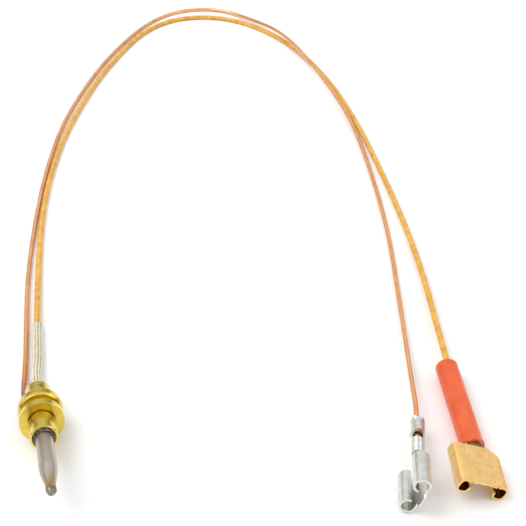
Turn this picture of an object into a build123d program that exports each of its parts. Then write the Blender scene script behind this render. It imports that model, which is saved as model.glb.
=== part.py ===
"""Gas hob thermocouple: brass head, steel tip, two leads, two push-on receptacles, loose sleeve.

Frame: millimetres, +Z up. The origin is on the head's axis, at the front face of the front
flange, which is the face that seats in the burner. The tip points along -Y and a little
upwards, because the head lies back on its rear flange. The leads lie on the plane TABLE_Z.
"""

from build123d import *
import math
import os

os.makedirs("parts", exist_ok=True)

# ---------------------------------------------------------------- driving dimensions
TABLE_Z = -4.38  # the surface that the object lies on
FIT_GAP = 0.01  # radial gap between pieces brazed or pressed together
CORE_GAP = 0.03  # between the lead's conductor and its jacket

# Head. Stations are distances along the head's axis from the seat face, positive rearwards.
HEAD_TILT = 12.0  # degrees that the tip points above the horizontal
FLANGE_R = 3.5
FRONT_FLANGE = 1.5  # thickness
CLIP_GROOVE = 1.6  # width of the groove between the flanges
GROOVE_R = 2.65
REAR_FLANGE_R = 3.5
REAR_FLANGE_END = 4.8  # station of its rear face
REAR_BEVEL = 0.22
FLANGE_CHAMFER = 0.3
COLLAR_R = 2.1
COLLAR_END = 10.0
COLLAR_ROUND = 0.5
SHANK_R = 2.15
LIP = -4.6  # station of the front lip
RELIEF = 0.35  # width of the relief groove at the root of the shank
RELIEF_R = 1.9
SEAT_BORE_R = 2.3  # inner edge of the seat face
SEAT_STEP = 0.1  # depth of the ring inside it
LIP_BORE_R = 1.85
LIP_BORE_END = -3.25
REAR_BORE_R = 1.05
SHEATH_SEAT = 0.9  # station of the shoulder that the sheath butts against
DIMPLE_STATION = 8.2
DIMPLE_ANGLE = 16.0  # degrees round from the top, towards +X
DIMPLE_R = 0.38

# Tip
SHEATH_R = 1.35
SHEATH_WALL = 0.25
CONE_START = -12.25
CONE_END = -17.6
CONE_END_R = 0.72
BEAD_R = 0.78
BEAD_STATION = -19.05
BEAD_NECK_R = 0.54
WIRE_R = 0.4  # core wire
INSULATOR_END = -11.9

# Rear of the head
BUSH_END = 9.0
FERRULE_START = 10.3
FERRULE_END = 12.5
FERRULE_R = 0.62
SPLICE_STATION = 11.4  # where the core wire meets the lead's conductor
ROOT_SLEEVE_R = 0.92
ROOT_SLEEVE_BORE_R = 0.66
ROOT_SLEEVE_REACH = 0.51  # its free end's place along the lead's fourth run

# Leads
JACKET_R = 0.57
CORE_R = 0.33
COPPER_R = 0.44
COPPER_RADIAL = COLLAR_R + COPPER_R + 0.04  # from the head's axis to the copper lead
COPPER_ANGLE = -20.0  # degrees above the horizontal, on the left of the collar
SOLDER_R = 0.83
SOLDER_LENGTH = 0.8

# Receptacles. Local frame: x across, y towards the lead, z out of the base plate.
SHEET = 0.35
SLOT = 0.85  # height of the space for the tab
BRASS_W, BRASS_L, BRASS_ROLL = 8.1, 7.4, 21.2  # for a 6.3 x 0.8 tab; degrees rolled
BRASS_CURL = (2.2, 2.74)  # width and height of each rolled edge
TIN_W, TIN_L, TIN_ROLL = 7.0, 6.1, 114.0  # for a 4.8 x 0.8 tab
TIN_CURL = (2.6, 2.6)
AXIS_DEPTH = 0.93  # from a barrel strip's outer face to its lead's centre line
STRIP_W = 1.4
NECK_W = 3.2
BRASS_CONDUCTOR_R, BRASS_INSULATION_R = 0.8, 0.9
TIN_CONDUCTOR_R, TIN_INSULATION_R, TIN_INSULATION_BORE_R = 0.9, 1.15, 0.75
RIB_COUNT, RIB_PITCH, RIB_WIDTH, RIB_DEPTH = 5, 0.54, 0.23, 0.11
CREASE_X = 2.1  # the two pressed lines on the brass plate
CREASE_W, CREASE_DEPTH = 0.14, 0.08
PIERCE_R = 0.22
CROP_ACROSS, CROP_ALONG = 2.3, 1.7  # the cropped rear corner
BRASS_STRIP_START, TIN_STRIP_START = -1.8, -0.4  # stations on the barrels' frames

# Loose sleeve
SLEEVE_MOUTH_AT = (63.59, -19.79, -2.48)
SLEEVE_AXIS = (0.176, 0.9844, 0)
SLEEVE_R = 1.87
BRAID_R = 1.67
SLEEVE_BORE_R = 1.5
SLEEVE_LENGTH = 18.9
BARE_END = 4.9  # from the brass receptacle's strip to the end of the lead's jacket

# ---------------------------------------------------------------- routes of the leads
# Insulated lead, from the splice ferrule round to the brass receptacle.
LEAD_ROUTE = [
    (0, 12.24, -2.6),
    (0, 14.81, -3.15),
    (0.66, 18.81, -3.37),
    (1.09, 24.5, -3.38),
    (1.79, 32.38, -3.43),
    (3.37, 47.25, -3.8),
    (5.77, 65.62, -3.81),
    (9.8, 84, -3.81),
    (15.92, 103.25, -3.81),
    (28.26, 130.81, -3.81),
    (45.06, 155.75, -3.81),
    (63.44, 155.75, -3.81),
    (76.12, 138.51, -3.81),
    (80.85, 113.75, -3.81),
    (80.94, 88.38, -3.81),
    (78.14, 57.75, -3.81),
    (74.65, 31.5, -3.68),
    (68.55, 4.2, -3.05),
    (64.75, -13.4, -2.62),
]
# Copper lead, from the rear flange over the insulated lead to the tinned receptacle.
COPPER_ROUTE = [
    (-2.42, 4.53, -1.86),
    (-2.42, 11.9, -3.46),
    (-1.49, 18.38, -3.94),
    (-0.61, 28, -3.94),
    (1.05, 44.62, -3.94),
    (4.11, 63, -3.94),
    (8.4, 83.56, -3.94),
    (15.4, 107.62, -3.94),
    (30.36, 138.69, -3.94),
    (47.69, 161, -3.94),
    (63.44, 161.44, -3.94),
    (71.75, 149.62, -3.59),
    (75.42, 131.25, -0.18),
    (77.52, 111.12, -0.18),
    (79.89, 91.88, -3.41),
    (78.05, 73.5, -3.94),
    (72.8, 43.75, -3.94),
    (65.8, 17.5, -3.85),
    (60.59, -1.05, -2.84),
    (57.82, -11.24, -2.15),
    (54.36, -19.98, -1.36),
]


def corner_radii(route):
    """The radius of each corner's arc: as large as its two runs allow."""
    points = [Vector(*p) for p in route]
    radii = []
    for before, corner, after in zip(points, points[1:], points[2:]):
        arriving = corner - before
        leaving = after - corner
        half_turn = math.radians(arriving.get_angle(leaving)) / 2
        radii.append(0.45 * min(arriving.length, leaving.length) / math.tan(half_turn))
    return radii


def check_tube(label, solid, radius, path):
    """Compare a cord's volume with its section times its length."""
    length = path.wire().length
    expected = math.pi * radius**2 * length
    print(f"{label}: length {length:.1f} mm, volume ratio {solid.volume / expected:.4f}")


LEAD_RADII = corner_radii(LEAD_ROUTE)
COPPER_RADII = corner_radii(COPPER_ROUTE)
print("lead radii", [round(r, 1) for r in LEAD_RADII])
print("copper radii", [round(r, 1) for r in COPPER_RADII])

# ---------------------------------------------------------------- frames
tilt = math.radians(HEAD_TILT)
REAR = Vector(0, math.cos(tilt), -math.sin(tilt))  # along the head's axis, rearwards
HEAD_SECTION = Plane(origin=(0, 0, 0), x_dir=REAR, z_dir=(1, 0, 0))
HEAD_AXIS = Axis((0, 0, 0), REAR)


def head_plane(station):
    """The plane across the head's axis at a station, facing rearwards."""
    return Plane(origin=REAR * station, x_dir=(1, 0, 0), z_dir=REAR)


def rolled_plane(origin, rearward, roll):
    """A receptacle's frame: y runs along its lead, and the plate rolls about it."""
    y_dir = rearward.normalized()
    level = y_dir.cross(Vector(0, 0, 1)).normalized()
    upright = level.cross(y_dir)
    angle = math.radians(roll)
    x_dir = level * math.cos(angle) - upright * math.sin(angle)
    z_dir = level * math.sin(angle) + upright * math.cos(angle)
    return Plane(origin=origin, x_dir=x_dir, z_dir=z_dir)


def across(frame, station):
    """The plane across a receptacle at a station along y, facing its mouth."""
    origin = frame.from_local_coords((0, station, 0))
    return Plane(origin=origin, x_dir=frame.x_dir, z_dir=-frame.y_dir)


lead_end = Vector(*LEAD_ROUTE[-1])
lead_dir = (Vector(*LEAD_ROUTE[-2]) - lead_end).normalized()
BRASS_BARREL = rolled_plane(lead_end - lead_dir * BARE_END, lead_dir, BRASS_ROLL)
BRASS_BOX = Plane(Pos(61.68, -28.81, -0.625) * Rot(Z=-11.8) * Rot(X=2.9) * Rot(Y=BRASS_ROLL))

copper_end = Vector(*COPPER_ROUTE[-1])
tin_dir = Vector(*COPPER_ROUTE[-2]) - copper_end
TIN_BARREL = rolled_plane(copper_end, tin_dir, TIN_ROLL)
TIN_BOX = Plane(Pos(51.84, -28.66, -1.288) * Rot(Z=-19.4) * Rot(X=-2.6) * Rot(Y=TIN_ROLL))

# ---------------------------------------------------------------- head
dimple_turn = math.radians(DIMPLE_ANGLE)
dimple_out = COLLAR_R + 0.12
dimple = head_plane(DIMPLE_STATION).from_local_coords(
    (dimple_out * math.sin(dimple_turn), dimple_out * math.cos(dimple_turn), 0)
)
with BuildPart() as head_body:
    with BuildSketch(HEAD_SECTION):
        with BuildLine():
            Polyline(
                (LIP, LIP_BORE_R),
                (LIP, SHANK_R - 0.1),
                (LIP + 0.1, SHANK_R),
                (-RELIEF, SHANK_R),
                (-RELIEF, RELIEF_R),
                (SEAT_STEP, RELIEF_R),
                (SEAT_STEP, SEAT_BORE_R),
                (0, SEAT_BORE_R),
                (0, FLANGE_R - 0.06),
                (0.06, FLANGE_R),
                (FRONT_FLANGE - 0.15, FLANGE_R),
                (FRONT_FLANGE, FLANGE_R - 0.15),
                (FRONT_FLANGE, GROOVE_R),
                (FRONT_FLANGE + CLIP_GROOVE, GROOVE_R),
                (FRONT_FLANGE + CLIP_GROOVE, REAR_FLANGE_R - FLANGE_CHAMFER),
                (FRONT_FLANGE + CLIP_GROOVE + FLANGE_CHAMFER, REAR_FLANGE_R),
                (REAR_FLANGE_END - REAR_BEVEL, REAR_FLANGE_R),
                (REAR_FLANGE_END, REAR_FLANGE_R - REAR_BEVEL),
                (REAR_FLANGE_END, COLLAR_R),
                (COLLAR_END - COLLAR_ROUND, COLLAR_R),
            )
            shoulder = RadiusArc(
                (COLLAR_END - COLLAR_ROUND, COLLAR_R),
                (COLLAR_END, COLLAR_R - COLLAR_ROUND),
                COLLAR_ROUND,
            )
            Polyline(
                shoulder @ 1,
                (COLLAR_END, REAR_BORE_R + 0.15),
                (COLLAR_END - 0.15, REAR_BORE_R),
                (SHEATH_SEAT, REAR_BORE_R),
                (SHEATH_SEAT, SHEATH_R + FIT_GAP),
                (LIP_BORE_END, SHEATH_R + FIT_GAP),
                (LIP_BORE_END, LIP_BORE_R),
                (LIP, LIP_BORE_R),
            )
        make_face()
    revolve(axis=HEAD_AXIS)
    # Staking dimple near the top of the collar.
    with Locations(dimple):
        Sphere(DIMPLE_R, mode=Mode.SUBTRACT)
head_body.part.label = "head_body"
export_step(head_body.part, "parts/head_body.step")

with BuildPart() as braze_ring:
    with BuildSketch(HEAD_SECTION):
        with BuildLine():
            Polyline(
                (LIP + 0.1, LIP_BORE_R - FIT_GAP),
                (LIP_BORE_END, LIP_BORE_R - FIT_GAP),
                (LIP_BORE_END, SHEATH_R + FIT_GAP),
                (LIP - 0.1, SHEATH_R + FIT_GAP),
            )
            RadiusArc(
                (LIP - 0.1, SHEATH_R + FIT_GAP),
                (LIP + 0.1, LIP_BORE_R - FIT_GAP),
                0.45,
            )
        make_face()
    revolve(axis=HEAD_AXIS)
braze_ring.part.label = "braze_ring"
export_step(braze_ring.part, "parts/braze_ring.step")

with BuildPart() as tip_sheath:
    with BuildSketch(HEAD_SECTION):
        with BuildLine():
            Line((SHEATH_SEAT, SHEATH_R - SHEATH_WALL), (SHEATH_SEAT, SHEATH_R))
            Line((SHEATH_SEAT, SHEATH_R), (CONE_START, SHEATH_R))
            taper = Spline(
                (CONE_START, SHEATH_R),
                (CONE_START - 2.3, SHEATH_R - 0.17),
                (CONE_END, CONE_END_R),
                tangents=((-1, 0), (-1, -0.08)),
            )
            Polyline(
                taper @ 1,
                (CONE_END - 0.3, CONE_END_R + 0.05),
                (CONE_END - 0.45, BEAD_NECK_R),
                (CONE_END - 0.45, WIRE_R + FIT_GAP),
                (CONE_END + 0.4, WIRE_R + FIT_GAP),
                (CONE_START - 0.2, SHEATH_R - SHEATH_WALL),
                (SHEATH_SEAT, SHEATH_R - SHEATH_WALL),
            )
        make_face()
    revolve(axis=HEAD_AXIS)
tip_sheath.part.label = "tip_sheath"
export_step(tip_sheath.part, "parts/tip_sheath.step")

bead_rear = CONE_END - 0.45
with BuildPart() as tip_bead:
    with BuildSketch(head_plane(bead_rear)):
        Circle(BEAD_NECK_R)
    extrude(amount=BEAD_STATION - bead_rear)
    with Locations(REAR * BEAD_STATION):
        Sphere(BEAD_R)
tip_bead.part.label = "tip_bead"
export_step(tip_bead.part, "parts/tip_bead.step")

with BuildPart() as element_wire:
    with BuildSketch(head_plane(bead_rear)):
        Circle(WIRE_R)
    extrude(amount=SPLICE_STATION - bead_rear)
element_wire.part.label = "element_wire"
export_step(element_wire.part, "parts/element_wire.step")

with BuildPart() as tip_insulator:
    with BuildSketch(head_plane(INSULATOR_END)):
        Circle(SHEATH_R - SHEATH_WALL - FIT_GAP)
        Circle(WIRE_R + FIT_GAP, mode=Mode.SUBTRACT)
    extrude(amount=SHEATH_SEAT - INSULATOR_END)
tip_insulator.part.label = "tip_insulator"
export_step(tip_insulator.part, "parts/tip_insulator.step")

with BuildPart() as rear_bush:
    with BuildSketch(head_plane(SHEATH_SEAT)):
        Circle(REAR_BORE_R - FIT_GAP)
        Circle(WIRE_R + FIT_GAP, mode=Mode.SUBTRACT)
    extrude(amount=BUSH_END - SHEATH_SEAT)
rear_bush.part.label = "rear_bush"
export_step(rear_bush.part, "parts/rear_bush.step")

with BuildPart() as splice_ferrule:
    with BuildSketch(head_plane(FERRULE_START)):
        Circle(FERRULE_R)
        Circle(WIRE_R + FIT_GAP, mode=Mode.SUBTRACT)
    extrude(amount=FERRULE_END - FERRULE_START)
splice_ferrule.part.label = "splice_ferrule"
export_step(splice_ferrule.part, "parts/splice_ferrule.step")

# ---------------------------------------------------------------- insulated lead
fourth_run = Vector(*LEAD_ROUTE[4]) - Vector(*LEAD_ROUTE[3])
root_sleeve_end = Vector(*LEAD_ROUTE[3]) + fourth_run * ROOT_SLEEVE_REACH
with BuildPart() as root_sleeve:
    with BuildLine() as root_path:
        FilletPolyline(
            REAR * BUSH_END,
            *LEAD_ROUTE[1:4],
            root_sleeve_end,
            radius=LEAD_RADII[:3],
        )
    with BuildSketch(Plane(origin=root_path.wire() @ 0, z_dir=root_path.wire() % 0)):
        Circle(ROOT_SLEEVE_R)
        Circle(ROOT_SLEEVE_BORE_R, mode=Mode.SUBTRACT)
    sweep(path=root_path.wire())
root_sleeve.part.label = "root_sleeve"
export_step(root_sleeve.part, "parts/root_sleeve.step")

with BuildPart() as lead_jacket:
    with BuildLine() as jacket_path:
        FilletPolyline(*LEAD_ROUTE, radius=LEAD_RADII)
    with BuildSketch(Plane(origin=jacket_path.wire() @ 0, z_dir=jacket_path.wire() % 0)):
        Circle(JACKET_R)
        Circle(CORE_R + CORE_GAP, mode=Mode.SUBTRACT)
    sweep(path=jacket_path.wire())
lead_jacket.part.label = "lead_jacket"
export_step(lead_jacket.part, "parts/lead_jacket.step")

core_start = REAR * (SPLICE_STATION + 0.1)
core_end = BRASS_BARREL.from_local_coords((0, 0.8, 0))
with BuildPart() as lead_core:
    with BuildLine() as core_path:
        FilletPolyline(core_start, *LEAD_ROUTE[1:-1], core_end, radius=LEAD_RADII)
    with BuildSketch(Plane(origin=core_path.wire() @ 0, z_dir=core_path.wire() % 0)):
        Circle(CORE_R)
    sweep(path=core_path.wire())
lead_core.part.label = "lead_core"
export_step(lead_core.part, "parts/lead_core.step")
check_tube("lead_core", lead_core.part, CORE_R, core_path)

# ---------------------------------------------------------------- copper lead
with BuildPart() as copper_lead:
    with BuildLine() as copper_path:
        FilletPolyline(*COPPER_ROUTE, radius=COPPER_RADII)
    with BuildSketch(Plane(origin=copper_path.wire() @ 0, z_dir=copper_path.wire() % 0)):
        Circle(COPPER_R)
    sweep(path=copper_path.wire())
copper_lead.part.label = "copper_lead"
export_step(copper_lead.part, "parts/copper_lead.step")
check_tube("copper_lead", copper_lead.part, COPPER_R, copper_path)

angle = math.radians(COPPER_ANGLE)
solder_spot = (-COPPER_RADIAL * math.cos(angle), COPPER_RADIAL * math.sin(angle))
with BuildPart() as lead_solder:
    with BuildSketch(head_plane(REAR_FLANGE_END)):
        with Locations(solder_spot):
            Circle(SOLDER_R)
    extrude(amount=SOLDER_LENGTH, taper=20)
    with BuildSketch(head_plane(REAR_FLANGE_END)):
        Circle(COLLAR_R + FIT_GAP)
        with Locations(solder_spot):
            Circle(COPPER_R + FIT_GAP)
    extrude(amount=SOLDER_LENGTH, mode=Mode.SUBTRACT)
lead_solder.part.label = "lead_solder"
export_step(lead_solder.part, "parts/lead_solder.step")


# ---------------------------------------------------------------- receptacles
def box_section(width, curl):
    """A flat plate whose two edges curl under it and end at the space for the tab."""
    curl_width, curl_height = curl
    centre = width / 2 - curl_width / 2
    corner = 0.46 * min(curl)
    with Locations((0, -SHEET / 2)):
        Rectangle(2 * centre, SHEET)
    for side in (-1, 1):
        with BuildSketch(mode=Mode.PRIVATE) as curled_edge:
            with Locations((side * centre, -curl_height / 2)):
                RectangleRounded(curl_width, curl_height, corner)
                RectangleRounded(
                    curl_width - 2 * SHEET,
                    curl_height - 2 * SHEET,
                    corner - SHEET,
                    mode=Mode.SUBTRACT,
                )
            with Locations((side * (centre - curl_width / 4), -(SHEET + SLOT) / 2)):
                Rectangle(curl_width / 2 + 0.02, SHEET + SLOT, mode=Mode.SUBTRACT)
        add(curled_edge.sketch)


def barrel_section(radius, bore):
    """A crimp barrel round the lead: its base strip stays flat on the plate's side."""
    Circle(radius)
    with Locations((0, (AXIS_DEPTH + 0.3) / 2)):
        Rectangle(STRIP_W, AXIS_DEPTH - 0.3)
    Circle(bore, mode=Mode.SUBTRACT)


with BuildPart() as brass_receptacle:
    with BuildSketch(across(BRASS_BOX, BRASS_L)):
        box_section(BRASS_W, BRASS_CURL)
    extrude(amount=BRASS_L)
    # One rear corner is cropped.
    with BuildSketch(BRASS_BOX):
        with BuildLine():
            Polyline(
                (BRASS_W / 2 - CROP_ACROSS, BRASS_L + 0.1),
                (BRASS_W / 2 + 0.1, BRASS_L - CROP_ALONG),
                (BRASS_W / 2 + 0.1, BRASS_L + 0.1),
                close=True,
            )
        make_face()
    extrude(amount=-BRASS_CURL[1] - 0.1, mode=Mode.SUBTRACT)
    # Neck, stepping down from the plate to the strip of the two crimp barrels.
    with BuildSketch(across(BRASS_BOX, BRASS_L - 0.2)):
        with Locations((0, -SHEET / 2)):
            Rectangle(NECK_W, SHEET)
    with BuildSketch(across(BRASS_BARREL, BRASS_STRIP_START)):
        with Locations((0, AXIS_DEPTH - SHEET / 2)):
            Rectangle(STRIP_W, SHEET)
    loft()
    with BuildSketch(BRASS_BARREL.offset(AXIS_DEPTH)):
        with Locations((0, (7.65 + BRASS_STRIP_START) / 2)):
            Rectangle(STRIP_W, 7.75 - BRASS_STRIP_START)
    extrude(amount=-SHEET)
    with BuildSketch(across(BRASS_BARREL, 4.3)):
        barrel_section(BRASS_CONDUCTOR_R, CORE_R + FIT_GAP)
    extrude(amount=3.3)
    with BuildSketch(across(BRASS_BARREL, 7.6)):
        barrel_section(BRASS_INSULATION_R, JACKET_R + FIT_GAP)
    extrude(amount=2.3)
    # Pressed lines, their pierced rear ends and the marks at the mouth.
    with BuildSketch(BRASS_BOX):
        with Locations((-CREASE_X, BRASS_L / 2), (CREASE_X, BRASS_L / 2)):
            Rectangle(CREASE_W, BRASS_L - 2.4)
    extrude(amount=-CREASE_DEPTH, mode=Mode.SUBTRACT)
    with BuildSketch(BRASS_BOX):
        with Locations((-CREASE_X, BRASS_L - 1.3), (CREASE_X, BRASS_L - 1.3)):
            Circle(PIERCE_R)
        with Locations((-CREASE_X, 0), (CREASE_X, 0)):
            Circle(PIERCE_R)
    extrude(amount=-SHEET, mode=Mode.SUBTRACT)
brass_receptacle.part.label = "brass_receptacle"
export_step(brass_receptacle.part, "parts/brass_receptacle.step")

with BuildPart() as tinned_receptacle:
    with BuildSketch(across(TIN_BOX, TIN_L)):
        box_section(TIN_W, TIN_CURL)
    extrude(amount=TIN_L)
    # Tongue that stands out at the mouth.
    with BuildSketch(TIN_BOX):
        Rectangle(1.9, 1.6)
    extrude(amount=-SHEET)
    # Neck and strip of the two crimp barrels.
    with BuildSketch(across(TIN_BOX, TIN_L - 0.2)):
        with Locations((0, -SHEET / 2)):
            Rectangle(NECK_W, SHEET)
    with BuildSketch(across(TIN_BARREL, TIN_STRIP_START)):
        with Locations((0, AXIS_DEPTH - SHEET / 2)):
            Rectangle(STRIP_W, SHEET)
    loft()
    with BuildSketch(TIN_BARREL.offset(AXIS_DEPTH)):
        with Locations((0, 3.7)):
            Rectangle(STRIP_W, 8.4)
    extrude(amount=-SHEET)
    with BuildSketch(across(TIN_BARREL, 3.5)):
        barrel_section(TIN_CONDUCTOR_R, COPPER_R + FIT_GAP)
    extrude(amount=3.4)
    for rib in range(RIB_COUNT):
        with BuildSketch(across(TIN_BARREL, 0.65 + rib * RIB_PITCH)):
            Circle(TIN_CONDUCTOR_R + 0.1)
            Circle(TIN_CONDUCTOR_R - RIB_DEPTH, mode=Mode.SUBTRACT)
            with Locations((0, AXIS_DEPTH)):
                Rectangle(STRIP_W + 0.8, 2 * SHEET + 0.1, mode=Mode.SUBTRACT)
        extrude(amount=RIB_WIDTH, mode=Mode.SUBTRACT)
    with BuildSketch(across(TIN_BARREL, 7.9)):
        barrel_section(TIN_INSULATION_R, TIN_INSULATION_BORE_R)
    extrude(amount=3.2)
tinned_receptacle.part.label = "tinned_receptacle"
export_step(tinned_receptacle.part, "parts/tinned_receptacle.step")

# ---------------------------------------------------------------- loose sleeve
SLEEVE_MOUTH = Plane(origin=SLEEVE_MOUTH_AT, z_dir=SLEEVE_AXIS)

with BuildPart() as sleeve_coating:
    with BuildSketch(SLEEVE_MOUTH):
        Circle(SLEEVE_R)
        Circle(BRAID_R + FIT_GAP, mode=Mode.SUBTRACT)
    extrude(amount=SLEEVE_LENGTH)
sleeve_coating.part.label = "sleeve_coating"
export_step(sleeve_coating.part, "parts/sleeve_coating.step")

with BuildPart() as sleeve_braid:
    with BuildSketch(SLEEVE_MOUTH):
        Circle(BRAID_R)
        Circle(SLEEVE_BORE_R, mode=Mode.SUBTRACT)
    extrude(amount=SLEEVE_LENGTH)
sleeve_braid.part.label = "sleeve_braid"
export_step(sleeve_braid.part, "parts/sleeve_braid.step")

# Directions and places that the mounts and the joint state.
print("slide axis", lead_dir)
print("wide slot mouth", BRASS_BOX.origin, "rearwards", BRASS_BOX.y_dir, "out", BRASS_BOX.z_dir)
print("narrow slot mouth", TIN_BOX.origin, "rearwards", TIN_BOX.y_dir, "out", TIN_BOX.z_dir)
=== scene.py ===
"""Gas hob thermocouple: the looks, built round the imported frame.

Metres, in the frame's own axes: the origin is on the head's axis at the seat face, the tip
points along -Y and 12 degrees up, and the leads lie on the plane at the frame's lowest point.
"""

import math

import bpy
from mathutils import Matrix, Vector, noise


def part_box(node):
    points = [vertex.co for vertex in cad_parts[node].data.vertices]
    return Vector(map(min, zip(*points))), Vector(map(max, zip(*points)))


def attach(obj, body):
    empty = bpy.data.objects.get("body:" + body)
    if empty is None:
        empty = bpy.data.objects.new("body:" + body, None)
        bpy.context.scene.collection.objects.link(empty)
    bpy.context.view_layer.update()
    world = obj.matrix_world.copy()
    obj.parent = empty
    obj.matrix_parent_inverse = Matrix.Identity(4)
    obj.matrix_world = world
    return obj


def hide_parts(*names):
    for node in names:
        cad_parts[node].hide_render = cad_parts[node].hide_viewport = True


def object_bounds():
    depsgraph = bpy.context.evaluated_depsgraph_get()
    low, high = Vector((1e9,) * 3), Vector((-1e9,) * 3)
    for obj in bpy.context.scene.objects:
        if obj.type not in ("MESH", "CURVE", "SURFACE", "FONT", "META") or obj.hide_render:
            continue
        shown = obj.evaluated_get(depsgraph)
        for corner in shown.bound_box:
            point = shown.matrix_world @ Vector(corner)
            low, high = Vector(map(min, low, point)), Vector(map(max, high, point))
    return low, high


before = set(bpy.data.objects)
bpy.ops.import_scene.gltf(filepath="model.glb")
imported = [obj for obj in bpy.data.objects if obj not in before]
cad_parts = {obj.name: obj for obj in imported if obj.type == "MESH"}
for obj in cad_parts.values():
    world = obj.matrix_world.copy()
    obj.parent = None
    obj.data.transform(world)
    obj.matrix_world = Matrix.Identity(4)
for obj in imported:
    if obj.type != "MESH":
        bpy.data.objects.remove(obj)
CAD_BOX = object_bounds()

MM = 0.001
FLOOR_Z = CAD_BOX[0][2]
BODY = "thermocouple"
SLEEVE_BODY = "insulating_sleeve"
HEAD_TILT = math.radians(12)
REAR = Vector((0, math.cos(HEAD_TILT), -math.sin(HEAD_TILT)))  # along the head's axis

# ------------------------------------------------------------------ camera
CAMERA_AT = Vector((1.66, -128.55, 119.48)) * MM
CAMERA_PITCH = math.radians(35.7)  # below the horizontal
CAMERA_TURN = math.radians(14.7)  # from +Y towards +X
camera_data = bpy.data.cameras.new("camera")
camera_data.lens = 75.28
camera_data.sensor_width = 36.0
camera_data.clip_start = 0.01
camera = bpy.data.objects.new("camera", camera_data)
camera.location = CAMERA_AT
camera.rotation_euler = (math.pi / 2 - CAMERA_PITCH, 0, -CAMERA_TURN)
bpy.context.scene.collection.objects.link(camera)
bpy.context.scene.camera = camera

# ------------------------------------------------------------------ routes of the leads, in mm
LEAD_ROUTE = [
    (0, 12.24, -2.6), (0, 14.81, -3.15), (0.66, 18.81, -3.37), (1.09, 24.5, -3.38),
    (1.79, 32.38, -3.43), (3.37, 47.25, -3.8), (5.77, 65.62, -3.81), (9.8, 84, -3.81),
    (15.92, 103.25, -3.81), (28.26, 130.81, -3.81), (45.06, 155.75, -3.81),
    (63.44, 155.75, -3.81), (76.12, 138.51, -3.81), (80.85, 113.75, -3.81),
    (80.94, 88.38, -3.81), (78.14, 57.75, -3.81), (74.65, 31.5, -3.68),
    (68.55, 4.2, -3.05), (64.75, -13.4, -2.62),
]
COPPER_ROUTE = [
    (-2.42, 4.53, -1.86), (-2.42, 11.9, -3.46), (-1.49, 18.38, -3.94), (-0.61, 28, -3.94),
    (1.05, 44.62, -3.94), (4.11, 63, -3.94), (8.4, 83.56, -3.94), (15.4, 107.62, -3.94),
    (30.36, 138.69, -3.94), (47.69, 161, -3.94), (63.44, 161.44, -3.94),
    (71.75, 149.62, -3.59), (75.42, 131.25, -0.18), (77.52, 111.12, -0.18),
    (79.89, 91.88, -3.41), (78.05, 73.5, -3.94), (72.8, 43.75, -3.94), (65.8, 17.5, -3.85),
    (60.59, -1.05, -2.84), (57.82, -11.24, -2.15), (54.36, -19.98, -1.36),
]
JACKET_R = 0.57
CORE_R = 0.33
COPPER_R = 0.44
BARE_END = 4.1  # length of the bare conductor beyond the jacket


# ------------------------------------------------------------------ material tools
def new_material(name):
    made = bpy.data.materials.new(name)
    made.use_nodes = True
    return made, made.node_tree, made.node_tree.nodes["Principled BSDF"]


def place(tree, scale, turn=0.0):
    """The point on the piece, in metres, turned about X and scaled."""
    source = tree.nodes.new("ShaderNodeTexCoord")
    mapping = tree.nodes.new("ShaderNodeMapping")
    mapping.inputs["Rotation"].default_value = (turn, 0, 0)
    mapping.inputs["Scale"].default_value = scale
    tree.links.new(source.outputs["Object"], mapping.inputs["Vector"])
    return mapping.outputs["Vector"]


def cloud(tree, scale, turn=0.0, detail=3.0, roughness=0.55):
    """Noise between 0 and 1 over the piece."""
    node = tree.nodes.new("ShaderNodeTexNoise")
    node.inputs["Scale"].default_value = 1.0
    node.inputs["Detail"].default_value = detail
    node.inputs["Roughness"].default_value = roughness
    tree.links.new(place(tree, scale, turn), node.inputs["Vector"])
    return node.outputs["Fac"]


def ramp(tree, factor, stops):
    """A colour ramp over a factor. Stops are (place, colour)."""
    node = tree.nodes.new("ShaderNodeValToRGB")
    while len(node.color_ramp.elements) < len(stops):
        node.color_ramp.elements.new(0.5)
    for element, (where, colour) in zip(node.color_ramp.elements, stops):
        element.position = where
        element.color = (*colour, 1)
    tree.links.new(factor, node.inputs["Fac"])
    return node.outputs["Color"]


def spread(tree, factor, low, high, to_low=0.0, to_high=1.0):
    """A factor's range carried to another range."""
    node = tree.nodes.new("ShaderNodeMapRange")
    node.inputs["From Min"].default_value = low
    node.inputs["From Max"].default_value = high
    node.inputs["To Min"].default_value = to_low
    node.inputs["To Max"].default_value = to_high
    tree.links.new(factor, node.inputs["Value"])
    return node.outputs["Result"]


def mix(tree, factor, first, second):
    """The first colour, turned into the second by a factor. Each is a tuple or a socket."""
    node = tree.nodes.new("ShaderNodeMix")
    node.data_type = "RGBA"
    tree.links.new(factor, node.inputs["Factor"])
    for socket, value in ((node.inputs[6], first), (node.inputs[7], second)):
        if isinstance(value, tuple):
            socket.default_value = (*value, 1)
        else:
            tree.links.new(value, socket)
    return node.outputs[2]


def distance(tree, centre):
    """The distance in metres from a point."""
    source = tree.nodes.new("ShaderNodeTexCoord")
    node = tree.nodes.new("ShaderNodeVectorMath")
    node.operation = "DISTANCE"
    node.inputs[1].default_value = centre
    tree.links.new(source.outputs["Object"], node.inputs[0])
    return node.outputs["Value"]


def along_y(tree, turn=0.0):
    """The distance along Y in metres, after the turn about X."""
    node = tree.nodes.new("ShaderNodeSeparateXYZ")
    tree.links.new(place(tree, (1, 1, 1), turn), node.inputs["Vector"])
    return node.outputs["Y"]


RELIEF_STRENGTH = 0.6


def bump(tree, shader, height, depth):
    """Relief from a height between 0 and 1, with its depth in metres."""
    node = tree.nodes.new("ShaderNodeBump")
    node.inputs["Strength"].default_value = RELIEF_STRENGTH
    node.inputs["Distance"].default_value = depth
    tree.links.new(height, node.inputs["Height"])
    tree.links.new(node.outputs["Normal"], shader.inputs["Normal"])


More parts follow.
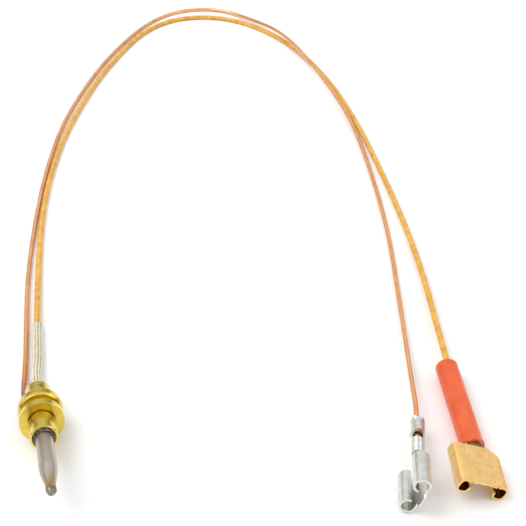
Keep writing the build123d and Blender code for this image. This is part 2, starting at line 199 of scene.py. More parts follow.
def even(value):
    """The same value three times: a scale along all the axes, or a grey."""
    return (value, value, value)


def surface(name, stops, grain, rough, metallic, depth, fine, turn=0.0):
    """A material whose colour, roughness and relief all vary over the piece.

    grain and fine are the noise scales of the colour and of the relief, per metre.
    """
    made, tree, shader = new_material(name)
    shader.inputs["Metallic"].default_value = metallic
    colour = ramp(tree, cloud(tree, grain, turn), stops)
    tree.links.new(colour, shader.inputs["Base Color"])
    relief = cloud(tree, fine, turn, 4.0)
    tree.links.new(spread(tree, relief, 0.3, 0.7, *rough), shader.inputs["Roughness"])
    bump(tree, shader, relief, depth)
    return made, tree, shader, colour


def tint(tree, shader, factor, colour, second):
    """Turn a material's base colour into a second one where the factor is high."""
    tree.links.new(mix(tree, factor, colour, second), shader.inputs["Base Color"])


# ------------------------------------------------------------------ materials
# The head, with fine turned rings round its axis and a tarnished staking dimple.
DIMPLE_AT = tuple((REAR * 8.2 + Vector((0.58, 0.42, 2.0))) * MM)
brass, tree, shader, colour = surface(
    "turned_brass",
    [(0.3, (0.62, 0.43, 0.06)), (0.5, (0.74, 0.55, 0.09)), (0.7, (0.82, 0.65, 0.16))],
    grain=(300, 1500, 300), rough=(0.14, 0.3), metallic=1.0, depth=0.012 * MM, fine=(120, 9000, 120),
    turn=HEAD_TILT)
tarnish = spread(tree, distance(tree, DIMPLE_AT), 0.28 * MM, 0.52 * MM, 1.0, 0.0)
tint(tree, shader, tarnish, colour, (0.30, 0.30, 0.20))

# The sheath, drawn along its length and heat-tinted towards the tip.
steel, tree, shader, colour = surface(
    "satin_steel",
    [(0.3, (0.34, 0.29, 0.24)), (0.5, (0.46, 0.41, 0.35)), (0.7, (0.55, 0.50, 0.44))],
    grain=(500, 120, 500), rough=(0.28, 0.48), metallic=1.0, depth=0.01 * MM, fine=(6000, 700, 6000),
    turn=HEAD_TILT)
heat = spread(tree, along_y(tree, HEAD_TILT), -17.8 * MM, -14.5 * MM, 1.0, 0.0)
tint(tree, shader, heat, colour, (0.42, 0.27, 0.13))

# The weld bead, with a dark band round the rear of the ball.
BLACK, WHITE = (0, 0, 0), (1, 1, 1)
bead, tree, shader, colour = surface(
    "weld_bead",
    [(0.3, (0.16, 0.13, 0.11)), (0.55, (0.33, 0.28, 0.24)), (0.7, (0.45, 0.40, 0.35))],
    grain=even(2500), rough=(0.35, 0.6), metallic=0.9, depth=0.05 * MM, fine=even(5000))
band_place = spread(tree, along_y(tree, HEAD_TILT), -18.32 * MM, -17.95 * MM)
band = ramp(tree, band_place, [(0.0, BLACK), (0.3, WHITE), (0.7, WHITE), (1.0, BLACK)])
tint(tree, shader, band, colour, (0.05, 0.035, 0.03))

braze, tree, shader, colour = surface(
    "dark_braze",
    [(0.35, (0.03, 0.03, 0.028)), (0.55, (0.10, 0.09, 0.08)), (0.72, (0.35, 0.31, 0.26))],
    grain=even(4200), rough=(0.12, 0.4), metallic=0.7, depth=0.06 * MM, fine=even(5200))

# Copper, with the colours that soldering leaves near the head.
SOLDER_AT = tuple(Vector((-2.4, 5.2, -0.5)) * MM)
copper_metal, tree, shader, colour = surface(
    "bare_copper",
    [(0.3, (0.84, 0.38, 0.15)), (0.5, (0.90, 0.46, 0.21)), (0.7, (0.93, 0.53, 0.28))],
    grain=even(260), rough=(0.18, 0.30), metallic=1.0, depth=0.004 * MM, fine=even(3000))
from_solder = spread(tree, distance(tree, SOLDER_AT), 0.0, 22 * MM)
heat_colours = ramp(tree, from_solder, [
    (0.06, (0.22, 0.13, 0.08)), (0.16, (0.24, 0.26, 0.27)), (0.26, (0.34, 0.24, 0.30)),
    (0.36, (0.62, 0.22, 0.24)), (0.48, (0.84, 0.32, 0.06)), (0.90, (0.90, 0.44, 0.14)),
])
fade = spread(tree, distance(tree, SOLDER_AT), 12 * MM, 30 * MM, 0.85, 0.0)
tint(tree, shader, fade, colour, heat_colours)

solder_metal, tree, shader, colour = surface(
    "solder",
    [(0.3, (0.22, 0.18, 0.13)), (0.5, (0.42, 0.36, 0.28)), (0.7, (0.66, 0.58, 0.46))],
    grain=even(3000), rough=(0.2, 0.45), metallic=0.9, depth=0.04 * MM, fine=even(4200))

tin, tree, shader, colour = surface(
    "tinned_sheet",
    [(0.3, (0.60, 0.60, 0.56)), (0.5, (0.70, 0.70, 0.66)), (0.7, (0.78, 0.78, 0.74))],
    grain=even(700), rough=(0.26, 0.42), metallic=1.0, depth=0.012 * MM, fine=even(4500))

# The wide receptacle's sheet, speckled, and painted shade on the inside of its rolls.
sheet_brass, tree, shader, colour = surface(
    "sheet_brass",
    [(0.3, (0.84, 0.50, 0.17)), (0.5, (0.92, 0.60, 0.22)), (0.7, (0.93, 0.64, 0.30))],
    grain=even(900), rough=(0.24, 0.42), metallic=0.78, depth=0.012 * MM, fine=even(4200))
speck = spread(tree, cloud(tree, even(3800), 0, 2.0), 0.64, 0.72, 0.0, 0.5)
tint(tree, shader, speck, colour, (0.62, 0.30, 0.07))

# Painted shade: a dark red-brown for the inside faces of the curls and the barrels' bores.
painted_shade_roll_inside, tree, shader, colour = surface(
    "painted_shade_roll_inside",
    [(0.3, (0.10, 0.03, 0.012)), (0.5, (0.20, 0.07, 0.03)), (0.7, (0.36, 0.15, 0.06))],
    grain=even(900), rough=(0.3, 0.5), metallic=1.0, depth=0.012 * MM, fine=even(4200))

ceramic, tree, shader, colour = surface(
    "ceramic",
    [(0.3, (0.70, 0.66, 0.58)), (0.5, (0.80, 0.77, 0.70)), (0.7, (0.86, 0.84, 0.79))],
    grain=even(1200), rough=(0.55, 0.8), metallic=0.0, depth=0.02 * MM, fine=even(6000))

# The lead's glossy amber jacket, with dark specks.
amber, tree, shader, colour = surface(
    "amber_jacket",
    [(0.30, (0.60, 0.28, 0.022)), (0.50, (0.74, 0.38, 0.036)), (0.70, (0.84, 0.48, 0.07))],
    grain=even(700), rough=(0.26, 0.46), metallic=0.0, depth=0.03 * MM, fine=even(3800))
dark_speck = spread(tree, cloud(tree, even(2600), 0, 2.0), 0.66, 0.76, 0.0, 0.6)
tint(tree, shader, dark_speck, colour, (0.16, 0.08, 0.02))
shader.inputs["Coat Weight"].default_value = 0.35
shader.inputs["Coat Roughness"].default_value = 0.2

knit_yarn, tree, shader, colour = surface(
    "knitted_glass",
    [(0.28, (0.70, 0.65, 0.48)), (0.5, (0.82, 0.78, 0.62)), (0.72, (0.90, 0.87, 0.74))],
    grain=even(1200), rough=(0.6, 0.85), metallic=0.0, depth=0.02 * MM, fine=even(9000))
shader.inputs["Sheen Weight"].default_value = 0.25

# Painted shade for the gaps between the stitches, in a darker, browner yarn colour.
knit_gap_shade, tree, shader, colour = surface(
    "knitted_glass_gap_shade",
    [(0.28, (0.26, 0.21, 0.12)), (0.5, (0.36, 0.31, 0.19)), (0.72, (0.46, 0.40, 0.27))],
    grain=even(1200), rough=(0.7, 0.9), metallic=0.0, depth=0.02 * MM, fine=even(9000))

red, tree, shader, colour = surface(
    "red_coating",
    [(0.3, (0.68, 0.080, 0.012)), (0.5, (0.76, 0.105, 0.016)), (0.7, (0.82, 0.135, 0.024))],
    grain=even(260), rough=(0.32, 0.5), metallic=0.0, depth=0.05 * MM, fine=even(2400))
shader.inputs["Subsurface Weight"].default_value = 0.08
shader.inputs["Subsurface Scale"].default_value = 1.0 * MM
shader.inputs["Coat Weight"].default_value = 0.2
shader.inputs["Coat Roughness"].default_value = 0.3

strand, tree, shader, colour = surface(
    "woven_strands",
    [(0.3, (0.72, 0.20, 0.05)), (0.5, (0.85, 0.48, 0.28)), (0.7, (0.90, 0.82, 0.70))],
    grain=even(1500), rough=(0.5, 0.8), metallic=0.0, depth=0.03 * MM, fine=even(9000))

FINISHES = {
    "head_body": brass, "braze_ring": braze, "tip_sheath": steel, "tip_bead": bead,
    "element_wire": steel, "tip_insulator": ceramic, "rear_bush": ceramic,
    "splice_ferrule": copper_metal, "root_sleeve": knit_yarn, "lead_jacket": amber,
    "lead_core": copper_metal, "copper_lead": copper_metal, "lead_solder": solder_metal,
    "tinned_receptacle": tin, "brass_receptacle": sheet_brass, "sleeve_coating": red,
    "sleeve_braid": strand,
}
for node, made in FINISHES.items():
    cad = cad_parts[node]
    cad.data.materials.clear()
    cad.data.materials.append(made)


# ------------------------------------------------------------------ mesh tools
def piece_from(name, points, faces, made, body=BODY):
    """A smooth-shaded piece on a body. No point of it is under the surface it lies on."""
    mesh = bpy.data.meshes.new(name)
    mesh.from_pydata([(p.x, p.y, max(p.z, FLOOR_Z)) for p in points], [], faces)
    mesh.materials.append(made)
    mesh.update()
    mesh.polygons.foreach_set("use_smooth", [True] * len(mesh.polygons))
    piece = bpy.data.objects.new(name, mesh)
    bpy.context.scene.collection.objects.link(piece)
    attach(piece, body)
    return piece


def spline_points(name, route):
    """The smooth line through a route, as points read from its NURBS spline, in metres."""
    curve = bpy.data.curves.new(name, "CURVE")
    curve.dimensions = "3D"
    spline = curve.splines.new("NURBS")
    spline.points.add(len(route) - 1)
    for point, spot in zip(spline.points, route):
        point.co = (*(Vector(spot) * MM), 1)
    spline.order_u = 3
    spline.use_endpoint_u = True
    spline.resolution_u = 24
    carrier = bpy.data.objects.new(name, curve)
    mesh = bpy.data.meshes.new_from_object(carrier)
    points = [v.co.copy() for v in mesh.vertices]
    bpy.data.objects.remove(carrier)
    bpy.data.meshes.remove(mesh)
    return points


def measured(points):
    """Each point's distance along the line."""
    total = [0.0]
    for before, after in zip(points, points[1:]):
        total.append(total[-1] + (after - before).length)
    return total


def stations(points, start, stop, count):
    """Evenly spaced frames (distance, point, side, up) along part of a line."""
    totals = measured(points)
    frames = []
    side = None
    index = 0
    for step in range(count + 1):
        want = start + (stop - start) * step / count
        while index < len(points) - 2 and totals[index + 1] < want:
            index += 1
        run = points[index + 1] - points[index]
        share = (want - totals[index]) / run.length
        ahead = points[min(index + 2, len(points) - 1)] - points[max(index - 1, 0)]
        direction = ahead.normalized()
        if side is None:
            side = direction.cross(Vector((0, 0, 1)))
        side = (side - direction * side.dot(direction)).normalized()
        frames.append((want, points[index] + run * share, side.copy(), direction.cross(side)))
    return frames


def straight(start, direction, length, count):
    """Frames along a straight line."""
    points = [start, start + direction * length / 2, start + direction * length]
    return stations(points, 0, length, count)


def hump(x, width, power=2):
    """1 where x is 0, fading to 0 on both sides over about the width."""
    return math.exp(-((x / width) ** power))


def round_noise(angle, size, along):
    """Noise over a round skin, with the length along the noise's Z."""
    return noise.noise(Vector((math.cos(angle) * size, math.sin(angle) * size, along)))


def lead_noise(along, angle, size=1.0):
    """Noise over a round skin, with the length along the noise's X."""
    return noise.noise(Vector((along, math.cos(angle) * size, math.sin(angle) * size)))


def skin(frames, around, radius):
    """Rings of points on the frames. radius(distance, angle) is in metres."""
    points = []
    for along, centre, side, up in frames:
        for k in range(around):
            angle = 2 * math.pi * k / around
            r = radius(along, angle)
            points.append(centre + (side * math.cos(angle) + up * math.sin(angle)) * r)
    return points


def tube(name, frames, around, radius, made, body=BODY, caps=True):
    """A round piece on the frames."""
    verts, faces = skin(frames, around, radius), []
    for i in range(len(frames) - 1):
        for k in range(around):
            n = (k + 1) % around
            a, b = i * around, (i + 1) * around
            faces.append((a + k, b + k, b + n, a + n))
    if caps:
        faces.append(tuple(range(around)))
        faces.append(tuple(range(len(verts) - 1, len(verts) - around - 1, -1)))
    return piece_from(name, verts, faces, made, body)


def hollow(name, frames, around, outer, inner, made, body=BODY):
    """A tube with a bore and flat ends."""
    verts, faces = skin(frames, around, outer) + skin(frames, around, inner), []
    rows = len(frames)
    base = rows * around
    for i in range(rows - 1):
        for k in range(around):
            n = (k + 1) % around
            a, b = i * around, (i + 1) * around
            faces.append((a + k, b + k, b + n, a + n))
            faces.append((base + a + n, base + b + n, base + b + k, base + a + k))
    for k in range(around):
        n = (k + 1) % around
        last = (rows - 1) * around
        faces.append((k, n, base + n, base + k))
        faces.append((last + n, last + k, base + last + k, base + last + n))
    return piece_from(name, verts, faces, made, body)


# ------------------------------------------------------------------ leads
lead_line = spline_points("lead_line", LEAD_ROUTE)
copper_line = spline_points("copper_line", COPPER_ROUTE)
lead_length = measured(lead_line)[-1]
copper_length = measured(copper_line)[-1]

WRAP_PITCH = 0.42 * MM  # of the silk wound round the lead


def jacket_surface(along, angle):
    wrap = math.cos(2 * math.pi * along / WRAP_PITCH - angle)
    lump = lead_noise(along * 900, angle)
    return (JACKET_R + 0.018 * wrap + 0.02 * lump - 0.02) * MM


jacket = tube("amber_lead", stations(lead_line, 0, lead_length, 3300), 12, jacket_surface, amber)
lead_run = lead_line[-1] - lead_line[-2]
core_line = lead_line + [lead_line[-1] + lead_run.normalized() * BARE_END * MM]
core = tube("conductor", stations(core_line, 0, measured(core_line)[-1], 500), 8,
            lambda along, angle: CORE_R * MM, copper_metal)


def copper_surface(along, angle):
    dent = lead_noise(along * 260, angle, 0.6)
    return (COPPER_R - 0.008 + 0.014 * dent) * MM


copper = tube("copper_wire", stations(copper_line, 0, copper_length, 700), 16, copper_surface, copper_metal)
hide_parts("lead_jacket")
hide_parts("lead_core")
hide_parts("copper_lead")

# Knitted sleeve at the lead's root: columns of stitches that flare at the free end.
ROOT_WALES = 10  # columns of stitches
ROOT_COURSE = 0.46 * MM  # height of a stitch
ROOT_LENGTH = 20.0 * MM
ROOT_BORE_R = 0.60
ROOT_START = 9.0  # station on the head's axis
KNIT_STEPS, KNIT_AROUND = 440, 120
root_line = [REAR * ROOT_START * MM] + lead_line


def stitch_place(along, turns):
    """How far a point is from the middle of its wale, from 0 to 1, and its course."""
    off_middle = abs(((turns * ROOT_WALES) % 1.0) - 0.5) * 2
    return off_middle, along / ROOT_COURSE + 0.3 * off_middle


def knit_surface(along, angle):
    share = along / ROOT_LENGTH
    base = 0.60 + 0.06 * share + 0.10 * max(0.0, (share - 0.9) / 0.1) ** 2
    off_middle, course = stitch_place(along, angle / (2 * math.pi))
    stitch = 0.5 + 0.5 * math.cos(2 * math.pi * course)
    ridge = (1 - off_middle ** 3) * (0.35 + 0.65 * stitch ** 0.7)
    wander = 0.03 * lead_noise(along * 400, angle)
    return (base + 0.30 * ridge + wander) * MM


knit = hollow("knitted_sleeve", stations(root_line, 0, ROOT_LENGTH, KNIT_STEPS), KNIT_AROUND,
              knit_surface, lambda along, angle: ROOT_BORE_R * MM, knit_yarn)
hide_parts("root_sleeve")
# Painted shade: the gaps between the stitches are darker and browner.
GAP_LIMIT = 0.82
knit.data.materials.append(knit_gap_shade)
for face in knit.data.polygons:
    step, turn_step = divmod(face.vertices[0], KNIT_AROUND)
    off_middle, course = stitch_place(step / KNIT_STEPS * ROOT_LENGTH, turn_step / KNIT_AROUND)
    if off_middle > GAP_LIMIT or math.cos(2 * math.pi * course) < -GAP_LIMIT:
        face.material_index = 1


# ------------------------------------------------------------------ head details
def head_frames(profile):
    """Frames on the head's axis, at the profile's stations in mm."""
    side = Vector((1, 0, 0))
    up = side.cross(REAR)
    return [(station, REAR * station * MM, side, up) for station in profile]


# Braze round the sheath at the front lip: a dark, uneven, rounded bead, as {station: radius}.
BRAZE_PROFILE = {
    -4.93: 1.38, -4.9: 1.50, -4.84: 1.62, -4.76: 1.72, -4.66: 1.79, -4.52: 1.82, -4.3: 1.82,
    -3.9: 1.82, -3.4: 1.82,
}
BRAZE_LEAST_R = 1.37
BRAZE_UNEVEN_TO = -4.5  # the station behind which the bead is even


def braze_surface(station, angle):
    lump = 0.10 * round_noise(angle, 2.2, station * 4) if station < BRAZE_UNEVEN_TO else 0
    return max(BRAZE_LEAST_R, BRAZE_PROFILE[station] + lump - 0.03) * MM


ring = tube("braze_bead", head_frames(BRAZE_PROFILE), 72, braze_surface, braze, caps=False)
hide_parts("braze_ring")

# Weld bead at the tip: a neck ring, a dull ball and the slot across it, as {station: radius}.
BALL_AT, BALL_HALF_LENGTH, BALL_R = -18.55, 0.74, 0.76
BALL_STEPS = 25
BALL_FROM, BALL_SWEEP = 38, 142  # degrees
STATION_GAP = 0.0001  # keeps the stations apart
LEAST_R = 0.004
SLOT_ANGLE, SLOT_W, SLOT_CUT = 0.5, 0.13, 0.35
SLOT_UP_TO = -18.5
bead_profile = {-17.2: 0.60, -17.6: 0.66, -17.75: 0.70, -17.9: 0.64, -17.98: 0.56}
for step in range(BALL_STEPS + 1):
    turn = math.radians(BALL_FROM + BALL_SWEEP * step / BALL_STEPS)
    station = BALL_AT + BALL_HALF_LENGTH * math.cos(turn) - STATION_GAP * step
    bead_profile[station] = BALL_R * math.sin(turn) + LEAST_R


def bead_surface(station, angle):
    radius = bead_profile[station]
    slot = hump(math.sin(angle - SLOT_ANGLE) * radius, SLOT_W) if station < SLOT_UP_TO else 0
    lump = 0.03 * round_noise(angle, 1.7, station * 2.5) * (radius > 0.3)
    return max(LEAST_R / 2, radius * (1 - SLOT_CUT * slot) + lump) * MM


bead_ball = tube("weld_ball", head_frames(bead_profile), 64, bead_surface, bead)
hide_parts("tip_bead")


def lumpy_ball(name, box, made, rows=24, columns=40):
    """A lumpy ball that fills a box."""
    low, high = Vector(box[0]), Vector(box[1])
    centre, half = (low + high) / 2, (high - low) / 2
    verts, faces = [], []
    for i in range(rows + 1):
        polar = math.pi * i / rows
        for k in range(columns):
            turn = 2 * math.pi * k / columns
            across, level = math.sin(polar) * math.cos(turn), math.sin(polar) * math.sin(turn)
            unit = Vector((across, math.cos(polar), level))
            size = 0.94 + 0.16 * noise.noise(unit * 2.2 + Vector((4, 1, 7)))
            verts.append(centre + unit * half * size)
    for i in range(rows):
        for k in range(columns):
            n = (k + 1) % columns
            a, b = i * columns, (i + 1) * columns
            faces.append((a + k, a + n, b + n, b + k))
    return piece_from(name, verts, faces, made)


# Solder that fillets the copper lead to the rear flange.
blob = lumpy_ball("solder_fillet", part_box("lead_solder"), solder_metal)
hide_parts("lead_solder")

# ------------------------------------------------------------------ receptacles, in mm
# Each has two frames, one for its plate and one for its barrels: x across, y towards the lead.
SHEET = 0.35
AXIS_DEPTH = 0.93  # from the lead's centre line to the strip's outer face
STRIP_W = 1.4
NECK_W = 3.2
SLOT_HEIGHT = 0.85  # between the plate and the ends of its curls
BARREL_AROUND = 48


def plate_frame(origin, yaw, pitch, roll):
    """The frame of a receptacle's plate, turned by three angles in degrees."""
    turns = (
        Matrix.Rotation(math.radians(yaw), 3, "Z")
        @ Matrix.Rotation(math.radians(pitch), 3, "X")
        @ Matrix.Rotation(math.radians(roll), 3, "Y")
    )
    x_axis, y_axis, z_axis = turns.transposed()
    return Vector(origin), x_axis, y_axis, z_axis


def rolled_frame(origin, rearward, roll):
    """The frame of a receptacle's barrels: y runs along its lead, and they roll about it."""
    y_axis = rearward.normalized()
    level = y_axis.cross(Vector((0, 0, 1))).normalized()
    upright = level.cross(y_axis)
    turn = math.radians(roll)
    z_axis = level * math.sin(turn) + upright * math.cos(turn)
    return Vector(origin), level * math.cos(turn) - upright * math.sin(turn), y_axis, z_axis


def spot_in(place_frame, x, y, z):
    """A point of a receptacle's frame, given in mm, in metres."""
    origin, x_axis, y_axis, z_axis = place_frame
    return (origin + x_axis * x + y_axis * y + z_axis * z) * MM


class Sheetwork:
    """Collects the bent sheet of one receptacle into one mesh with two materials."""

    def __init__(self):
        self.verts, self.faces, self.inside = [], [], []

    def grid(self, rows, flip=False, inside=None):
        """Faces over rows of points. inside(row) says which of them have the second material."""
        base, width = len(self.verts), len(rows[0])
        for row in rows:
            self.verts.extend(row)
        for i in range(len(rows) - 1):
            for k in range(width - 1):
                a = base + i * width + k
                quad = (a, a + 1, a + width + 1, a + width)
                self.faces.append(quad[::-1] if flip else quad)
                self.inside.append(bool(inside and inside(i)))

    def sheet(self, place_frame, path, front, rear, steps, dent, shaded_inside=lambda u: False):
        """Bend a sheet along a path of (x, z, distance). front and rear give its two edges."""
        outer, inner = [], []
        for i, (x, z, u) in enumerate(path):
            before, after = path[max(i - 1, 0)], path[min(i + 1, len(path) - 1)]
            run = Vector((after[0] - before[0], after[1] - before[1])).normalized()
            out = (-run.y * SHEET / 2, run.x * SHEET / 2)
            first, last = front(u), rear(u)
            top, under = [], []
            for j in range(steps + 1):
                y = first + (last - first) * j / steps
                drop = dent(u, y)
                top.append(spot_in(place_frame, x + out[0], y, z + out[1] + drop))
                under.append(spot_in(place_frame, x - out[0], y, z - out[1] + drop * 0.8))
            outer.append(top)
            inner.append(under)
        self.grid(outer)
        self.grid(inner, True, lambda i: shaded_inside(path[i][2]))
        self.grid([[r[0] for r in outer], [r[0] for r in inner]])
        self.grid([[r[-1] for r in outer], [r[-1] for r in inner]], True)
        self.grid([outer[0], inner[0]], True)
        self.grid([outer[-1], inner[-1]])

    def strip(self, place_frame, start, stop):
        """The flat strip under the barrels."""
        xs = [STRIP_W * (k / 12 - 0.5) for k in range(13)]
        path = [(x, AXIS_DEPTH - SHEET / 2, x) for x in xs]
        self.sheet(place_frame, path, lambda u: start, lambda u: stop, 20, lambda u, y: 0)

    def neck(self, box, length, barrel, start):
        """The neck that steps from the plate down to the strip."""
        rows_top, rows_under = [], []
        for i in range(25):
            share = i / 24
            eased = share * share * (3 - 2 * share)
            half = (NECK_W + (STRIP_W - NECK_W) * min(1, share * 1.6)) / 2
            top, under = [], []
            for k in range(9):
                x = half * (k / 4 - 1)
                for row, depth in ((top, 0), (under, SHEET)):
                    near = spot_in(box, x, length - 0.25 + share * 0.2, -depth)
                    far = spot_in(barrel, x, start + 0.1 - (1 - share) * 0.2, AXIS_DEPTH - depth)
                    row.append(near + (far - near) * eased)
            rows_top.append(top)
            rows_under.append(under)
        self.grid(rows_top, True)
        self.grid(rows_under)
        self.grid([[r[0] for r in rows_top], [r[0] for r in rows_under]])
        self.grid([[r[-1] for r in rows_top], [r[-1] for r in rows_under]], True)

    def barrel(self, place_frame, start, stop, radius, bore, steps):
        """A crimp barrel. radius(share, angle) is in mm, with angle 0 on the strip's side."""
        rows_out, rows_in = [], []
        for i in range(steps + 1):
            share = i / steps
            y = start + (stop - start) * share
            ring, hole = [], []
            for k in range(BARREL_AROUND + 1):
                angle = 2 * math.pi * k / BARREL_AROUND
                for row, r in ((ring, radius(share, angle)), (hole, bore)):
                    row.append(spot_in(place_frame, r * math.sin(angle), y, r * math.cos(angle)))
            rows_out.append(ring)
            rows_in.append(hole)
        self.grid(rows_out)
        self.grid(rows_in, True, lambda i: True)
        self.grid([rows_in[0], rows_out[0]])
        self.grid([rows_in[-1], rows_out[-1]], True)

    def finish(self, name, made, inside_material, node):
        """The piece, with its seams joined and its sheet edges sharp."""
        piece = piece_from(name, self.verts, self.faces, made)
        # The inside faces take the second material, which is painted shade on the brass receptacle.
        piece.data.materials.append(inside_material)
        piece.data.polygons.foreach_set("material_index", [int(f) for f in self.inside])
        weld = piece.modifiers.new("weld", "WELD")
        weld.merge_threshold = 0.002 * MM
        split = piece.modifiers.new("edges", "EDGE_SPLIT")
        split.split_angle = math.radians(50)
        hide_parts(node)
        return piece


def curled_path(width, curl_width, curl_height, roundness):
    """The middle line of a plate whose two edges curl under it, as (x, z, distance).

    A roundness of 1 makes oval curls, and a smaller one makes them squarer.
    """
    rx, rz = (curl_width - SHEET) / 2, (curl_height - SHEET) / 2
    cx, cz = width / 2 - curl_width / 2, -curl_height / 2
    half = []
    for step in range(61):
        angle = math.radians(90 - 5.0 * step)
        x = cx + rx * math.copysign(abs(math.cos(angle)) ** roundness, math.cos(angle))
        z = cz + rz * math.copysign(abs(math.sin(angle)) ** roundness, math.sin(angle))
        if step > 30 and z > -SHEET - SLOT_HEIGHT:
            break
        half.append((x, z))
    flat = [(cx * k / 40, -SHEET / 2) for k in range(40)]
    side = flat + half
    marked, total = [(*side[0], 0.0)], 0.0
    for before, after in zip(side, side[1:]):
        total += math.hypot(after[0] - before[0], after[1] - before[1])
        marked.append((*after, total))
    mirrored = [(-x, z, -u) for x, z, u in reversed(marked[1:])]
    return mirrored + marked


def wavy(u, seed, size):
    """How far a sheared edge strays from straight."""
    return size * noise.noise(Vector((u * 0.9, seed, 0.3)))


def seamed(radius):
    """A plain barrel, whose wings meet in a seam opposite the strip."""
    return lambda share, angle: radius - 0.12 * hump(angle - math.pi, 0.2)


# Wide brass receptacle, with two pressed lines that each end in a small pit.
BRASS_W, BRASS_L, BRASS_ROLL = 8.1, 7.4, 21.2
BRASS_CURL_W, BRASS_CURL_H = 2.2, 2.74
BRASS_STRIP = (-1.8, 7.65)
JACKET_TO_BARREL = 4.9  # from the jacket's end to the barrels' origin
PRESSED_LINES = (-2.1, 2.1)
PIT_INSET, PIT_R, PIT_DEPTH = 1.35, 0.19, 0.34
LINE_END_INSET = 1.5
CORNER_FROM, CORNER_SLOPE, CORNER_CUT = 1.7, 0.7, 1.8  # the rear corner that is cut away
SHADE_FROM = 2.9  # distance from the plate's middle at which the painted shade inside the curls starts

lead_end, before_end = Vector(LEAD_ROUTE[-1]), Vector(LEAD_ROUTE[-2])
lead_dir = (before_end - lead_end).normalized()
brass_barrel = rolled_frame(lead_end - lead_dir * JACKET_TO_BARREL, lead_dir, BRASS_ROLL)
brass_box = plate_frame((61.68, -28.81, -0.625), -11.8, 2.9, BRASS_ROLL)


def brass_front(u):
    edge = wavy(u, 1.0, 0.10)
    for line in PRESSED_LINES:
        edge += 0.34 * hump(u - line, 0.16) - 0.16 * hump(u - line, 0.6)
    return edge


def brass_rear(u):
    cut = min(CORNER_CUT, max(0.0, (u - CORNER_FROM) * CORNER_SLOPE))
    return BRASS_L - cut + wavy(u, 5.0, 0.04)


def brass_dent(u, y):
    drop = 0.02 * noise.noise(Vector((u * 0.7, y * 0.7, 2)))
    reach = min(1.0, max(0.0, (BRASS_L - LINE_END_INSET - y) / 0.3))
    for line in PRESSED_LINES:
        drop += reach * (0.06 * hump(u - line, 0.14) - 0.10 * hump(u - line - 0.16, 0.07))
        drop -= PIT_DEPTH * hump(math.hypot(u - line, y - BRASS_L + PIT_INSET), PIT_R, 4)
    return drop


work = Sheetwork()
# The inside faces of the curls and the barrels' bores take the painted shade.
work.sheet(brass_box, curled_path(BRASS_W, BRASS_CURL_W, BRASS_CURL_H, 0.72), brass_front,
           brass_rear, 90, brass_dent, lambda u: abs(u) > SHADE_FROM)
work.neck(brass_box, BRASS_L, brass_barrel, BRASS_STRIP[0])
work.strip(brass_barrel, *BRASS_STRIP)
work.barrel(brass_barrel, 1.0, 4.3, seamed(0.80), CORE_R + 0.01, 24)
work.barrel(brass_barrel, 5.3, 7.6, seamed(0.90), JACKET_R + 0.01, 18)
wide = work.finish("wide_receptacle", sheet_brass, painted_shade_roll_inside, "brass_receptacle")

# Narrow tinned receptacle, with a tongue at its mouth and a ribbed conductor crimp.
TIN_W, TIN_L, TIN_ROLL = 7.0, 6.1, 114.0
TIN_CURL = 2.6
TIN_STRIP = (-0.4, 7.9)
TONGUE_HALF_W, TONGUE_REACH = 0.95, 0.75
CREASE_AT, CREASE_HALF_W = 3.0, 1.4
RIBS = 6.3

copper_end = Vector(COPPER_ROUTE[-1])
tin_barrel = rolled_frame(copper_end, Vector(COPPER_ROUTE[-2]) - copper_end, TIN_ROLL)
tin_box = plate_frame((51.84, -28.66, -1.288), -19.4, -2.6, TIN_ROLL)


def tin_front(u):
    tongue = 1 / (1 + math.exp((abs(u) - TONGUE_HALF_W) / 0.05))
    return wavy(u, 3.0, 0.14) - TONGUE_REACH * tongue * (1 + 0.2 * u)


def tin_dent(u, y):
    crease = 0.07 * hump(y - CREASE_AT, 0.12) * (abs(u) < CREASE_HALF_W)
    return 0.03 * noise.noise(Vector((u * 0.8, y * 0.8, 7))) - crease


def conductor_barrel(share, angle):
    """Ribs across the wings that fade out at the strip, and a seam."""
    rib = 0.5 + 0.5 * math.cos(2 * math.pi * (share * RIBS + 0.5))
    off_strip = 1 - hump(min(angle, 2 * math.pi - angle), 0.9, 4)
    return 0.90 - 0.13 * rib * off_strip - 0.14 * hump(angle - math.pi, 0.22)


def insulation_barrel(share, angle):
    """A lumpy barrel with belled ends, a burr at the rear and a seam."""
    bell = 0.10 * max(0.0, (share - 0.75) / 0.25) ** 2 + 0.12 * max(0.0, (0.18 - share) / 0.18) ** 2
    burr = 0.16 * max(0.0, (share - 0.85) / 0.15) * hump(angle - 3.9, 0.4)
    lump = 0.05 * round_noise(angle, 1, share * 3)
    return 1.06 + bell + burr + lump - 0.16 * hump(angle - math.pi, 0.18)


work = Sheetwork()
work.sheet(tin_box, curled_path(TIN_W, TIN_CURL, TIN_CURL, 0.86), tin_front,
           lambda u: TIN_L + wavy(u, 9.0, 0.05), 70, tin_dent)
work.neck(tin_box, TIN_L, tin_barrel, TIN_STRIP[0])
work.strip(tin_barrel, *TIN_STRIP)
work.barrel(tin_barrel, 0.1, 3.5, conductor_barrel, COPPER_R + 0.01, 90)
work.barrel(tin_barrel, 4.7, 7.9, insulation_barrel, 0.75, 40)
narrow = work.finish("narrow_receptacle", tin, tin, "tinned_receptacle")

# ------------------------------------------------------------------ loose sleeve
SLEEVE_MOUTH = Vector((63.59, -19.79, -2.48)) * MM
SLEEVE_AXIS = Vector((0.176, 0.9844, 0)).normalized()
SLEEVE_LENGTH = 18.9 * MM
COATING_R, COATING_BORE_R = 1.87, 1.66
RIM_SHARE = 0.25 / 18  # the part of the length over which each rim is rounded
SCALLOP_REACH = 2.0 * MM  # from the mouth


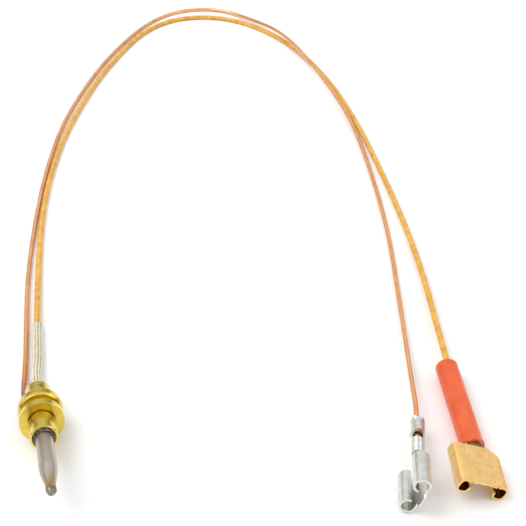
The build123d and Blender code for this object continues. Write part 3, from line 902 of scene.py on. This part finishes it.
def coating_surface(along, angle):
    share = along / SLEEVE_LENGTH
    flare = 0.05 * max(0.0, (share - 0.95) / 0.05) ** 2 + 0.10 * max(0.0, 1 - share / 0.07) ** 2
    rounding = 0.06 * max(0.0, 1 - min(share, 1 - share) / RIM_SHARE) ** 2
    wave = 0.03 * round_noise(angle, 1.3, along * 220)
    fine = 0.008 * round_noise(angle, 6, along * 1500)
    return (COATING_R + flare - rounding + wave + fine) * MM


coating = hollow("red_sleeve", straight(SLEEVE_MOUTH, SLEEVE_AXIS, SLEEVE_LENGTH, 220), 72,
                 coating_surface, lambda along, angle: COATING_BORE_R * MM, red, SLEEVE_BODY)
# The mouth is cut unevenly.
for vertex in coating.data.vertices:
    along = (vertex.co - SLEEVE_MOUTH).dot(SLEEVE_AXIS)
    if along < SCALLOP_REACH:
        out = vertex.co - SLEEVE_MOUTH - SLEEVE_AXIS * along
        scallop = noise.noise(out.normalized() * 2.6 + Vector((2, 5, 1)))
        vertex.co += SLEEVE_AXIS * (1 - along / SCALLOP_REACH) * (0.10 + 0.5 * scallop) * MM
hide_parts("sleeve_coating")

# The woven layer inside it: two sets of strands that cross.
STRANDS = 26
STRAND_LAY = 0.55 * MM
BRAID_R, BRAID_BORE_R = 1.60, 1.53
BRAID_INSET = 0.05 * MM  # of each end from the coating's


def weave(along, angle):
    """The height of the two sets of strands together, from -2 to 2."""
    lay = along / STRAND_LAY * 2.4
    return math.cos(angle * STRANDS / 2 + lay) + math.cos(angle * STRANDS / 2 - lay)


braid_frames = straight(SLEEVE_MOUTH + SLEEVE_AXIS * BRAID_INSET, SLEEVE_AXIS,
                        SLEEVE_LENGTH - 2 * BRAID_INSET, 260)
braid = hollow("woven_layer", braid_frames, 130,
               lambda along, angle: (BRAID_R + 0.025 * weave(along, angle)) * MM,
               lambda along, angle: (BRAID_BORE_R - 0.02 * weave(along, angle)) * MM,
               strand, SLEEVE_BODY)
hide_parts("sleeve_braid")

# ------------------------------------------------------------------ floor and light
scene = bpy.context.scene
scene.view_settings.view_transform = "Standard"
# The sky is dark at the horizon and white overhead.
world = bpy.data.worlds.new("world")
world.use_nodes = True
sky = world.node_tree
where = sky.nodes.new("ShaderNodeTexCoord")
height = sky.nodes.new("ShaderNodeSeparateXYZ")
sky.links.new(where.outputs["Generated"], height.inputs["Vector"])
shade = ramp(sky, spread(sky, height.outputs["Z"], -0.1, 1.0), [
    (0.09, even(0.16)), (0.24, even(0.42)), (0.42, WHITE)])
sky.links.new(shade, sky.nodes["Background"].inputs["Color"])
sky.nodes["Background"].inputs["Strength"].default_value = 0.92
scene.world = world
FLOOR_HALF = 2.0
corners = [(x * FLOOR_HALF, y * FLOOR_HALF, FLOOR_Z) for x, y in ((-1, -1), (1, -1), (1, 1), (-1, 1))]
mesh = bpy.data.meshes.new("floor")
mesh.from_pydata(corners, [], [(0, 1, 2, 3)])
floor = bpy.data.objects.new("floor", mesh)
scene.collection.objects.link(floor)
white, tree, shader = new_material("pale_floor")
shader.inputs["Base Color"].default_value = (0.93, 0.93, 0.93, 1)
shader.inputs["Roughness"].default_value = 0.9
mesh.materials.append(white)


def softbox(name, at, target, size, power):
    """A square area light that faces a target."""
    light = bpy.data.lights.new(name, "AREA")
    light.shape = "SQUARE"
    light.size = size
    light.energy = power
    lamp = bpy.data.objects.new(name, light)
    lamp.location = at
    lamp.rotation_euler = (Vector(target) - Vector(at)).to_track_quat("-Z", "Y").to_euler()
    scene.collection.objects.link(lamp)


softbox("key", (-0.25, 0.10, 0.45), (0.03, 0.05, 0), 0.35, 1.3)
softbox("fill", (0.40, -0.25, 0.30), (0.04, 0.03, 0), 0.30, 0.35)
